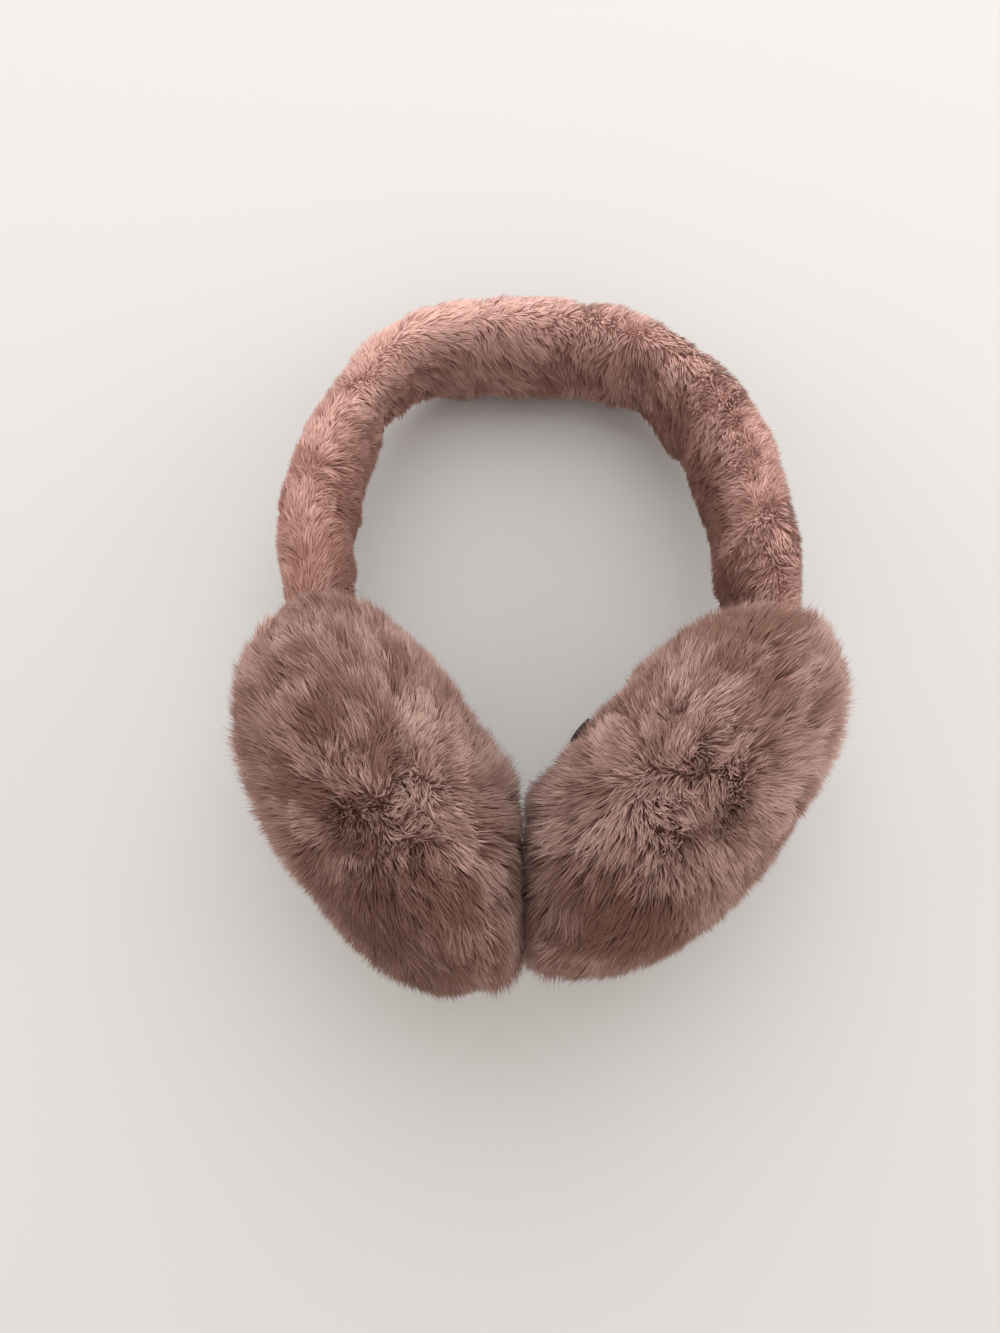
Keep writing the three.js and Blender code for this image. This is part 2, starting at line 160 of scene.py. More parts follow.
def strandTree():
    # Fibres strewn over a skin, which its attributes groom: reach runs from a root to its tip, cover is how
    # many grow, and tone how light they are. Their tips draw together in locks, and within those in tufts.
    tree = bpy.data.node_groups.new("furStrands", "GeometryNodeTree")
    tree.interface.new_socket("Skin", in_out="INPUT", socket_type="NodeSocketGeometry")
    for kind, labels in {
        "Float": ("Density", "Half", "Width", "Crown", "Lock Size", "Lock Pull", "Lock Stray", "Tuft Size",
                  "Tuft Pull", "Tuft Stray", "Stray", "Shortest", "Layering", "Tone Spread", "Roundness",
                  "Needles", "Floor", "Wall", "Wall Side", "Wobble"),
        "Int": ("Seed", "Bends"),
        "Material": ("Material",),
    }.items():
        for label in labels:
            tree.interface.new_socket(label, in_out="INPUT", socket_type="NodeSocket" + kind)
    tree.interface.new_socket("Fur", in_out="OUTPUT", socket_type="NodeSocketGeometry")
    node = partial(addNode, tree)
    given = node("NodeGroupInput").outputs
    scalar, vector, store = "ShaderNodeMath", "ShaderNodeVectorMath", "GeometryNodeStoreNamedAttribute"
    add, less, times, timesPlus, most, power, over = ({"operation": word} for word in (
        "ADD", "SUBTRACT", "MULTIPLY", "MULTIPLY_ADD", "MAXIMUM", "POWER", "DIVIDE"))
    by, size, onto, cross, level = ({"operation": word} for word in (
        "SCALE", "LENGTH", "PROJECT", "CROSS_PRODUCT", "NORMALIZE"))
    number, arrow = {"data_type": "FLOAT"}, {"data_type": "FLOAT_VECTOR"}
    known = {name: node("GeometryNodeInputNamedAttribute", kind, name) for name, kind in (
        ("half", number), ("cover", number), ("tone", number), ("reach", arrow), ("root", arrow),
        ("whole", arrow), ("outward", arrow), ("girth", number), ("shade", number), ("form", arrow))}
    chance = {}
    for salt, (name, kind, low, high) in enumerate((
        ("stray", arrow, (-1, -1, -1), (1, 1, 1)), ("length", number, 0.0, 1.0),
        ("girth", number, 0.4, 1.35), ("tone", number, -0.5, 0.5),
    )):
        seed = node(scalar, add, given["Seed"], 10.0 * (salt + 1))
        chance[name] = node("FunctionNodeRandomValue", kind, low, high, None, seed)

    # where the strands stand
    onHalf = node("FunctionNodeCompare", {"data_type": "FLOAT", "operation": "EQUAL"},
                  known["half"], given["Half"], 0.5)
    density = node(scalar, times, known["cover"], given["Density"])
    strewn = node("GeometryNodeDistributePointsOnFaces", None, given["Skin"], onHalf,
                  Density=density, Seed=given["Seed"])
    root = node("GeometryNodeInputPosition")
    normal = strewn.outputs["Normal"]

    # how each one lies
    reach = known["reach"]
    long = node(vector, size, reach)
    lying = node(vector, size, node(vector, cross, node(vector, level, reach), normal))
    drawn = node(scalar, timesPlus, lying, 1.1, 0.25)  # upright fur hardly parts into locks
    whole = reach
    cells = []
    for span, pull in (("Lock Size", "Lock Pull"), ("Tuft Size", "Tuft Pull")):
        scale = node(scalar, over, 1.0, given[span])
        cell = node("ShaderNodeTexVoronoi", None, Vector=root, Scale=scale)
        toCell = node(vector, less, cell.outputs["Position"], root)
        sideways = node(vector, less, toCell, node(vector, onto, toCell, normal))
        pulled = node(scalar, times, given[pull], drawn)
        whole = node(vector, add, whole, node(vector, by, sideways, Scale=pulled))
        cells.append(cell)
    off = node(vector, by, chance["stray"], Scale=node(scalar, times, long, given["Stray"]))
    for cell, stray in zip(cells, ("Lock Stray", "Tuft Stray")):
        way = node(vector, less, cell.outputs["Color"], (0.5, 0.5, 0.5))
        off = node(vector, add, off, node(vector, by, way, Scale=node(scalar, times, long, given[stray])))
    lifted = node(vector, by, node(vector, onto, off, normal), Scale=0.85)
    whole = node(vector, add, whole, node(vector, less, off, lifted))
    lockFacts = node("ShaderNodeSeparateXYZ", None, cells[0].outputs["Color"])
    tuftFacts = node("ShaderNodeSeparateXYZ", None, cells[1].outputs["Color"])
    grown = node("ShaderNodeMapRange", None, node(scalar, power, chance["length"], 0.6),
                 To_Min=given["Shortest"], To_Max=1.0)
    lockLong = node(scalar, timesPlus, lockFacts.outputs[1], given["Layering"],
                    node(scalar, less, 1.0, given["Layering"]))
    guard = node(scalar, timesPlus, chance["girth"], -0.26, 1.2)  # the finest fibres stand longest
    grown = node(scalar, times, grown, guard)
    whole = node(vector, by, whole, Scale=node(scalar, times, grown, lockLong))
    girth = node(scalar, times, given["Width"], chance["girth"])
    shift = node(scalar, add, node(scalar, less, tuftFacts, 0.5), chance["tone"])
    shift = node(scalar, timesPlus, node(scalar, less, lockFacts.outputs[2], 0.5), 1.3, shift)
    shade = node(scalar, timesPlus, shift, given["Tone Spread"], known["tone"])
    shade.use_clamp = True
    points = strewn
    for name, kind, value in (("root", arrow, root), ("whole", arrow, whole), ("outward", arrow, normal),
                              ("girth", number, girth), ("shade", number, shade)):
        points = node(store, {**kind, "domain": "POINT"}, points, None, name, value)

    # a strand is a slim closed shape of three sides: a bent spindle, or if it is fine, a straight needle
    place = node("GeometryNodeInputPosition")
    rings = node(scalar, add, given["Bends"], 1.0)
    spindle = node("GeometryNodeMeshUVSphere", None, 3, rings, 1.0)
    needle = node("GeometryNodeMeshCone", {"fill_type": "NGON"}, Vertices=3, Radius_Top=0.0, Radius_Bottom=1.0,
                  Depth=2.0)
    isFine = node("FunctionNodeCompare", {"data_type": "FLOAT", "operation": "LESS_THAN"}, known["girth"],
                  node(scalar, times, given["Width"], given["Needles"]))
    isThick = node("FunctionNodeBooleanMath", {"operation": "NOT"}, isFine)
    both = node("GeometryNodeJoinGeometry")
    for shape, form, which in ((needle, node(vector, less, place, (0, 0, 1)), isFine), (spindle, place, isThick)):
        shape = node(store, {**arrow, "domain": "POINT"}, shape, None, "form", form)
        some = node("GeometryNodeInstanceOnPoints", None, points, which, Instance=shape)
        tree.links.new(some.outputs[0], both.inputs[0])
    fur = node("GeometryNodeRealizeInstances", None, both)
    form = node("ShaderNodeSeparateXYZ", None, known["form"]).outputs
    along = node(scalar, power, node(scalar, timesPlus, form[2], 0.5, 0.5), 1.25)
    sideA = node(vector, level, node(vector, cross, known["whole"], known["outward"]))
    sideB = node(vector, level, node(vector, cross, known["whole"], sideA))
    bulge = node(scalar, times, node(scalar, times, along, node(scalar, less, 1.0, along)), given["Crown"])
    bulge = node(scalar, times, bulge, node(vector, size, known["whole"]))
    slim = node(scalar, times, known["girth"], node(scalar, timesPlus, along, -0.45, 0.62))
    section = node(vector, add, node(vector, by, sideA, Scale=form[0]), node(vector, by, sideB, Scale=form[1]))
    spot = node(vector, add, known["root"], node(vector, by, known["whole"], Scale=along))
    spot = node(vector, add, spot, node(vector, by, known["outward"], Scale=bulge))
    spot = node(vector, add, spot, node(vector, by, section, Scale=slim))

    # it is pressed flat on the floor, and where the pads meet
    place = node("ShaderNodeSeparateXYZ", None, spot).outputs
    low = node(scalar, timesPlus, place[2], -0.04, node(scalar, times, given["Floor"], 1.04))
    tall = node(scalar, most, place[2], low)
    sheet = node("ShaderNodeCombineXYZ", None, 0.0, place[1], place[2])
    wander = node("ShaderNodeTexNoise", None, Vector=sheet, Scale=160.0, Detail=1.0)
    wall = node(scalar, timesPlus, node(scalar, less, wander, 0.5), given["Wobble"], given["Wall"])
    wall = node(scalar, times, wall, given["Wall Side"])
    aside = node(scalar, times, place[0], given["Wall Side"])
    beyond = node(scalar, timesPlus, aside, -0.04, node(scalar, times, wall, 1.04))
    aside = node(scalar, times, node(scalar, most, aside, beyond), given["Wall Side"])
    fur = node("GeometryNodeSetPosition", None, fur,
               Position=node("ShaderNodeCombineXYZ", None, aside, place[1], tall))

    # the map that carries the colour: tone across, root to tip along
    width = node(scalar, timesPlus, node(scalar, timesPlus, form[1], 0.6, form[0]), 0.006, 0.02)
    acrossMap = node(scalar, timesPlus, known["shade"], 0.96, width)
    alongMap = node(scalar, timesPlus, along, 0.96, 0.02)
    fur = node(store, {"data_type": "FLOAT2", "domain": "CORNER"}, fur, None, "OFBake",
               node("ShaderNodeCombineXYZ", None, acrossMap, alongMap))
    fur = node("GeometryNodeSetShadeSmooth", None, fur)

    # light goes through fibres, so they shade much as the pile that they are part of does
    facing = node(vector, add, known["outward"], node(vector, by, section, Scale=given["Roundness"]))
    facing = node(vector, add, facing, node(vector, by, node(vector, level, known["whole"]), Scale=0.6))
    facing = node(vector, add, facing, (0, 0, 0.4))
    fur = node("GeometryNodeSetMeshNormal", {"mode": "FREE", "domain": "POINT"}, fur, facing)
    fur = node("GeometryNodeSetMaterial", None, fur, Material=given["Material"])
    node("NodeGroupOutput", None, fur)
    return tree


furTree = strandTree()


def areaOf(skin):
    # the skin's area on each half, weighed by how much fur it bears, in square metres
    cover = np.array([point.value for point in skin.data.attributes["cover"].data])
    half = np.array([point.value for point in skin.data.attributes["half"].data])
    areas = [0.0, 0.0]
    for face in skin.data.polygons:
        corners = list(face.vertices)
        if half[corners].min() > 0.5:
            areas[1] += face.area * cover[corners].mean()
        elif half[corners].max() < 0.5:
            areas[0] += face.area * cover[corners].mean()
    return areas


def growFur(skin, name, material, strands, half, settings):
    # the strands of one half of a skin as a plain mesh
    settings = {**common["fur"], "Floor": common["floorGap"], **settings}
    settings = {key: value * mm if key in common["lengths"] else value for key, value in settings.items()}
    settings.update({"Density": strands / areaOf(skin)[half], "Half": float(half), "Material": material})
    modifier = skin.modifiers.new(name, "NODES")
    modifier.node_group = furTree
    for socket in furTree.interface.items_tree:
        if socket.in_out == "INPUT" and socket.name in settings:
            modifier[socket.identifier] = settings[socket.name]
    graph = bpy.context.evaluated_depsgraph_get()
    mesh = bpy.data.meshes.new_from_object(
        skin.evaluated_get(graph), preserve_all_data_layers=True, depsgraph=graph)
    skin.modifiers.remove(modifier)
    mesh.name = name
    for spare in common["groomed"] + common["strandFacts"]:
        if spare in mesh.attributes:
            mesh.attributes.remove(mesh.attributes[spare])
    piece = bpy.data.objects.new(name, mesh)
    bpy.context.scene.collection.objects.link(piece)
    print(name, "has", len(mesh.polygons), "faces")
    return piece


# Headband: a padded sleeve along an arch, in short plush

band = {
    "crown": (-0.14, 87.74, 18.07),  # middle of the sleeve at the top of the arch
    "tilt": 18.3,  # how far the arch leans back
    "spread": 122.5,
    "rise": 84,
    "width": 40,
    "thickness": 21,
    "seat": 15,  # length of each leg inside its pad
    "fullness": 0.82,  # 1 is an ellipse, less is squarer
    "arch": [(-1.0, 1.0), (-1.035, 0.76), (-0.945, 0.43), (-0.765, 0.2), (-0.57, 0.065), (-0.3, 0.005),
             (0.02, -0.005), (0.33, 0.02), (0.58, 0.115), (0.79, 0.285), (0.92, 0.52), (0.97, 0.78),
             (0.985, 1.02)],  # across and down, shares of half the spread and of the rise
    "sections": [(0.0, 0.72, 0.8), (0.045, 0.9, 0.94), (0.09, 1.05, 1.0), (0.2, 1.06, 1.0),
                 (0.29, 0.98, 0.98), (0.36, 0.84, 0.94), (0.45, 0.96, 0.97), (0.6, 1.0, 1.0),
                 (0.7, 1.04, 1.02), (0.8, 1.12, 1.02), (0.91, 1.24, 1.0), (0.955, 0.98, 0.94),
                 (1.0, 0.76, 0.8)],  # at, thick and wide
    "gathers": [(0.16, 200, 0.09, 0.02), (0.24, 170, -0.1, 0.016), (0.3, 20, 0.07, 0.025),
                (0.345, 180, -0.12, 0.02), (0.41, 110, 0.07, 0.022), (0.48, 175, 0.08, 0.02),
                (0.55, 60, -0.07, 0.02), (0.61, 190, 0.12, 0.016), (0.645, 180, -0.14, 0.014),
                (0.685, 175, 0.15, 0.016), (0.73, 185, -0.1, 0.014), (0.77, 170, 0.12, 0.018),
                (0.84, 150, -0.08, 0.02)],  # at, degrees round, lift and reach
    "puffs": [(0.08, 0, 0.08, 0.04), (0.08, 190, 0.12, 0.04), (0.145, 10, -0.03, 0.04), (0.17, 190, 0.08, 0.03),
              (0.23, 30, -0.05, 0.05), (0.25, 190, 0.05, 0.022), (0.275, 20, -0.09, 0.03), (0.3, 205, -0.5, 0.028),
              (0.33, 40, 0.07, 0.03), (0.345, 215, -0.25, 0.035), (0.37, 50, 0.08, 0.04), (0.5, 205, 0.12, 0.09),
              (0.63, 210, -0.08, 0.03), (0.66, 30, -0.13, 0.055), (0.67, 212, -0.12, 0.022),
              (0.72, 195, 0.18, 0.022), (0.79, 0, 0.06, 0.03), (0.8, 190, 0.12, 0.022), (0.86, 0, -0.05, 0.03),
              (0.88, 185, -0.05, 0.03), (0.9, 0, -0.04, 0.04), (0.94, 190, 0.05, 0.03)],  # the same, for the fur
    "pileDepth": 4.0,  # from the skin up to the tips
    "pileReach": 5.0,  # how far a tip lies beside its root
    "lowest": 2.5,  # the skin over the floor
    "headSide": (60, 135, 240, 320),  # degrees round where the side towards the head comes in and goes out
    # painted shade on the side towards the head, and painted light round the rest of the sleeve
    "shade": (205, 35, 95),  # its darkest angle, and from where to where beside it the plush grows lighter
    "crest": (90, 35, 0.3),  # degrees round and reach of the thicker plush on its upper edge, and how much more
    "rings": 140,
    "sides": 40,
    "strands": 33500,  # on each half
    "seed": 5,
    "fur": {"Width": 0.44, "Crown": 0.7, "Lock Size": 6.0, "Lock Pull": 0.22, "Lock Stray": 0.4, "Tuft Size": 2.2,
            "Tuft Pull": 0.32, "Stray": 0.18, "Shortest": 0.75, "Layering": 0.2, "Tone Spread": 0.42,
            "Wall": -1000.0, "Wall Side": 1.0, "Wobble": 0.0},
}

lean = math.radians(band["tilt"])
archDown = np.array((0, -math.cos(lean), math.sin(lean)))
archTop = np.array((0, math.sin(lean), math.cos(lean)))
rowsAcross, rowsDown = np.array(band["arch"]).T
archRows = (np.array(band["crown"]) + np.outer(rowsAcross * band["spread"] / 2, (1, 0, 0))
            + np.outer(rowsDown * band["rise"], archDown))
legEntries = {"left": archRows[0], "right": archRows[-1]}


def mixed(a, b, start, end, t):
    return (a * (end - t) + b * (t - start)) / (end - start)


def smoothLine(points):
    # a centripetal Catmull-Rom line through points, and how far along it each of its fine points lies
    points = np.vstack([2 * points[0] - points[1], points, 2 * points[-1] - points[-2]])
    fine = []
    for four in (points[i:i + 4] for i in range(len(points) - 3)):
        steps = np.linalg.norm(np.diff(four, axis=0), axis=1) ** 0.5
        k = np.concatenate([[0], np.cumsum(steps)])
        for t in np.linspace(k[1], k[2], 60, endpoint=False):
            first = [mixed(four[j], four[j + 1], k[j], k[j + 1], t) for j in range(3)]
            second = [mixed(first[j], first[j + 1], k[j], k[j + 2], t) for j in range(2)]
            fine.append(mixed(second[0], second[1], k[1], k[2], t))
    fine = np.array(fine + [points[-2]])
    return fine, np.concatenate([[0], np.cumsum(np.linalg.norm(np.diff(fine, axis=0), axis=1))])


seatEnds = [legEntries["left"] + band["seat"] * archDown, legEntries["right"] + band["seat"] * archDown]
bandLine, bandRun = smoothLine(np.vstack([seatEnds[0], archRows, seatEnds[1]]))
bandLength = bandRun[-1]


def bandPoint(at, turn, depth):
    # a point of the sleeve: its share of the length, its angle round, and how far it is under the tips
    run = at * bandLength
    middle = np.stack([np.interp(run, bandRun, bandLine[:, k]) for k in range(3)], axis=-1)
    ahead = np.stack([np.interp(run + 0.5, bandRun, bandLine[:, k]) for k in range(3)], axis=-1)
    behind = np.stack([np.interp(run - 0.5, bandRun, bandLine[:, k]) for k in range(3)], axis=-1)
    heading = unit(ahead - behind)
    outside = unit(np.cross(archTop, heading))
    places, thick, wide = np.array(band["sections"]).T
    thick = np.interp(at, places, thick) * band["thickness"] / 2
    wide = np.interp(at, places, wide) * band["width"] / 2
    lift = np.ones_like(at)
    for spot, angle, amount, reach in band["gathers"] + band["puffs"]:
        facing = np.maximum(0, np.cos(turn - math.radians(angle))) ** 2
        lift = lift + amount * np.exp(-((at - spot) / reach) ** 2) * facing
    roundX = np.sign(np.cos(turn)) * np.abs(np.cos(turn)) ** band["fullness"]
    roundY = np.sign(np.sin(turn)) * np.abs(np.sin(turn)) ** band["fullness"]
    return (middle + outside * (roundX * (thick * lift - depth))[..., None]
            + archTop * (roundY * (wide * lift - depth))[..., None])


def makeBand():
    rings, sides = band["rings"], band["sides"]
    at = np.repeat(np.linspace(0, 1, rings), sides)
    turn = np.tile(np.arange(sides) / sides * 2 * math.pi, rings)
    roots = bandPoint(at, turn, band["pileDepth"])
    roots[:, 2] = np.maximum(roots[:, 2], band["lowest"])
    faces = [(r * sides + s, r * sides + (s + 1) % sides, (r + 1) * sides + (s + 1) % sides,
              (r + 1) * sides + s) for r in range(rings - 1) for s in range(sides)]
    faces += [tuple(range(sides)), tuple(range((rings - 1) * sides, rings * sides))]
    skin = meshObject("headband_backing", roots, faces)
    # the plush stands out from the outer side, lies down over the one towards the head, and runs a little
    # to the right, in small waves
    angle = np.degrees(turn)
    comesIn, isIn, goesOut, isOut = band["headSide"]
    inner = smooth(angle, comesIn, isIn) * (1 - smooth(angle, goesOut, isOut))
    across = -0.15 + 0.9 * inner + (0.3 + 0.25 * inner) * noiseAt(roots, 13, 8.4)
    onward = 0.45 + 0.9 * noiseAt(roots, 26, 3.1) + 0.6 * noiseAt(roots, 11, 5.2)
    step = 0.02  # radians, for how many millimetres there are to a radian
    perRadian = bandPoint(at, turn + step, np.zeros_like(at)) - bandPoint(at, turn, np.zeros_like(at))
    perRadian = np.linalg.norm(perRadian, axis=1) / step
    tipAt = np.clip(at + band["pileReach"] * onward / bandLength, 0, 1)
    tipTurn = turn + band["pileReach"] * across / np.maximum(perRadian, 4)
    tips = bandPoint(tipAt, tipTurn, 0.3 + 0.3 * inner + 0.7 * noiseAt(roots, 9, 6.1))
    # painted light on its top and outer side, and painted shade on the side towards the head
    darkest, darkTo, lightFrom = band["shade"]
    inward = np.abs((angle - darkest + 180) % 360 - 180)
    tone = 0.15 + 0.5 * smooth(inward, darkTo, lightFrom) + 0.16 * noiseAt(roots, 22, 1.7)
    # painted light beside the crown, painted shade down the left leg, and a little down the right one
    tone += 0.46 * np.exp(-((at - 0.46) / 0.19) ** 2) - 0.44 * smooth(0.3 - at, 0, 0.15)
    tone -= 0.2 * smooth(at, 0.62, 0.78)
    crest, crestReach, more = band["crest"]
    cover = 1 + more * np.exp(-((angle - crest) / crestReach) ** 2)
    groom(skin, reach=(tips - roots) * mm, cover=cover, tone=tone, half=(at > 0.5).astype(float))
    return skin


bandFur = furMaterial(
    "bandPlush",
    dark=[(0.0, "#875b51"), (0.5, "#8f6357"), (1.0, "#9a6e62")],
    light=[(0.0, "#ca9b8f"), (0.5, "#d9a99d"), (1.0, "#edc4b8")],
    roughness=0.75, sheen=0.15)
padFur = furMaterial(
    "padLongFur",
    dark=[(0.0, "#5f3e34"), (0.5, "#6e4b40"), (1.0, "#7b574b")],
    light=[(0.0, "#8a675c"), (0.5, "#b28c81"), (1.0, "#d4b0a5")],
    roughness=0.7, sheen=0.12)


def backingMaterial(name, colour, pale):
    # Knitted polyester backing with the dense short underfur: matt, felted. Its deep colour is painted shade of
    # the depth of the pile
    material = bpy.data.materials.new(name)
    material.use_nodes = True
    material.node_tree.nodes.clear()
    node = partial(addNode, material.node_tree)
    place = node("ShaderNodeTexCoord").outputs["Object"]
    felt = node("ShaderNodeTexNoise", None, Vector=place, Scale=900.0, Detail=3.0)
    patches = node("ShaderNodeTexNoise", None, Vector=place, Scale=60.0, Detail=2.0)
    share = node("ShaderNodeMath", {"operation": "MULTIPLY_ADD"}, felt, 0.6,
                 node("ShaderNodeMath", {"operation": "MULTIPLY"}, patches, 0.4))
    tint = node("ShaderNodeMix", {"data_type": "RGBA"}, share, linear(colour), linear(pale))
    bump = node("ShaderNodeBump", None, Strength=0.6, Distance=0.0006, Height=felt)
    cloth = node("ShaderNodeBsdfPrincipled", None, tint, Roughness=0.95, Specular_IOR_Level=0.2, Normal=bump,
                 Sheen_Weight=0.2, Sheen_Roughness=0.5)
    node("ShaderNodeOutputMaterial", None, cloth)
    return material


# deep backing colours: painted shade down between the fibres
padBacking = backingMaterial("padKnitBacking", "#54382f", "#7a564c")
bandBacking = backingMaterial("bandKnitBacking", "#8a6057", "#b0857b")

pieces = []
bandSkin = makeBand()
bandSkin.data.materials.append(bandBacking)
for half, side in enumerate(("left", "right")):
    fur = growFur(bandSkin, f"headband_plush_{side}", bandFur, band["strands"], half,
                  {**band["fur"], "Seed": band["seed"] + half})
    pieces.append((fur, "headband", "band_plush"))
pieces.append((bandSkin, "headband", "band_plush"))
print("headband done")

# Ear pads: puffy discs in long fur, standing on their rims

pads = {
    "left": {
        "side": -1, "turn": 28.5, "tip": 1.0, "middle": (-40.44, -46.30, 56.99), "whorl": (-31.5, -44.0),
        "lockSize": 7.5, "lockStray": 0.4,
        # painted light and shade on the upper part of the pad, each with its x, y, reach and amount of tone
        "paintedLightAndShade": [(-48, -8, 27, -0.38), (-48, -38, 13, -0.2), (-70, -36, 16, -0.26), (-22, -36, 16, 0.12),
                  (-28, -82, 24, -0.62), (-32, -50, 12, 0.2)],
        "swells": [(-80.6, -46.3, 26, 2.5), (-80, -24, 16, 1.0), (-72, 2, 15, -5.2), (-74, -14, 9, 1.4),
                   (-70, -60, 10, 1.3), (-61, -78, 16, -2.0), (-52, -86, 8, 1.0), (-25, -102, 10, -1.0),
                   (-11, -100, 9, -2.8), (-38, -2, 14, 1.2), (-16, -28, 16, -0.8), (-12, -38, 10, -1.0),
                   (-6, -49, 5, 1.2)]},
    "right": {
        "side": 1, "turn": 39.5, "tip": 9.5, "middle": (34.13, -46.92, 56.43), "whorl": (28.0, -37.0),
        "lockSize": 8.5, "lockStray": 0.5,
        # painted light and shade on the upper part of the pad, as on the left one
        "paintedLightAndShade": [(44, -13, 24, -0.48), (12, -53, 11, 0.44), (64, -30, 18, 0.42), (8, -74, 12, -0.4),
                  (26, -84, 22, -0.56), (32, -44, 16, 0.26)],
        "swells": [(79, -30, 18, 3.8), (74, -12, 9, -1.0), (13, -24, 12, -2.2), (44, 2, 9, 2.4), (32, -7, 12, 2.0),
                   (70, -57, 20, -2.4), (15, -96, 16, 0.4), (6, -99, 9, -2.4), (-6, -45, 5, 3.6),
                   (1, -39, 8, 1.0), (-5, -94, 4, 1.6), (9, -76, 7, -2.4)]},
    "diameter": 118,
    "thickness": 64,
    "fullness": 1.05,
    "pileDepth": 7.5,  # from the skin up to the tips
    "pileReach": 7.0,  # how far a tip lies beside its root, away from the whorl
    "puff": 2.6,  # how far the fur stands out where the pads press on each other
    "lowest": 3.0,  # the skin over the floor
    "pressed": 2.5,  # the skin behind the plane where the pads meet
    "apart": 0.15,  # and the fur behind it
    "whorlReach": 3.2,  # how far a tip lies beside its root at the whorl
    "legHalf": (10.2, 19.0),  # half of the leg's thickness and width, where the fur parts round it
    "strands": 35500,  # on each half of each pad
    "seed": 21,
    "fur": {"Width": 0.42, "Crown": 0.5, "Lock Pull": 0.14, "Tuft Size": 2.4, "Tuft Pull": 0.3, "Stray": 0.17,
            "Shortest": 0.72, "Layering": 0.28, "Tone Spread": 0.52, "Wobble": common["wobble"]},
}

label = {
    "length": 7, "height": 13, "thickness": 0.6,
    "along": -4, "up": 8,  # its middle from the pad's
    "proud": -2.6,  # how far it stands out from where the tips would be
    "bow": (0.4, 0.5),  # how far its sides and its ends bend in
    "ruff": 1.2,  # how much higher the fur stands round it
    "fringe": (10, 1.4),  # and over it, from its middle, how much higher again
    "pressed": 2.0,  # how far it presses the fur under it
}


def padDirections(pad):
    turn, tip = math.radians(pad["turn"]), math.radians(pad["tip"])
    flat = np.array((pad["side"] * math.cos(turn), -math.sin(turn), 0))
    upward = np.array((0, 0, 1))
    return (flat * math.cos(tip) + upward * math.sin(tip),
            np.array((pad["side"] * math.sin(turn), math.cos(turn), 0)),
            upward * math.cos(tip) - flat * math.sin(tip))


def padPoint(pad, seeds, depth):
    # seeds are directions from the middle: along, up and out of the disc
    out, along, rise = padDirections(pad)
    power = pads["fullness"]
    thin = np.sign(seeds[:, 2]) * np.abs(seeds[:, 2]) ** power * (pads["thickness"] / 2 - depth)
    flat = np.hypot(seeds[:, 0], seeds[:, 1])
    wide = flat ** power * (pads["diameter"] / 2 - depth) / np.maximum(flat, 1e-9)
    return (np.array(pad["middle"]) + np.outer(thin, out) + np.outer(wide * seeds[:, 0], along)
            + np.outer(wide * seeds[:, 1], rise))


def padSeeds(pad, points):
    # the seeds whose rays run through points near the pad's outline
    out, along, rise = padDirections(pad)
    off = points - np.array(pad["middle"])
    return unit(np.stack([off @ along / pads["diameter"], off @ rise / pads["diameter"],
                          off @ out / pads["thickness"]], axis=1))


def spread(points, spots):
    # the sum of soft spots in plan, each with its x, y, reach and amount
    return sum(amount * np.exp(-((points[:, 0] - x) ** 2 + (points[:, 1] - y) ** 2) / reach ** 2)
               for x, y, reach, amount in spots)


def roundLeg(points, entry, legOut):
    # how far points are ahead of a leg's entry, and across it in shares of half its section
    halfThick, halfWide = pads["legHalf"]
    off = points - entry
    a, b = off @ legOut / halfThick, off @ archTop / halfWide
    return -(off @ archDown), a, b, np.hypot(a, b)


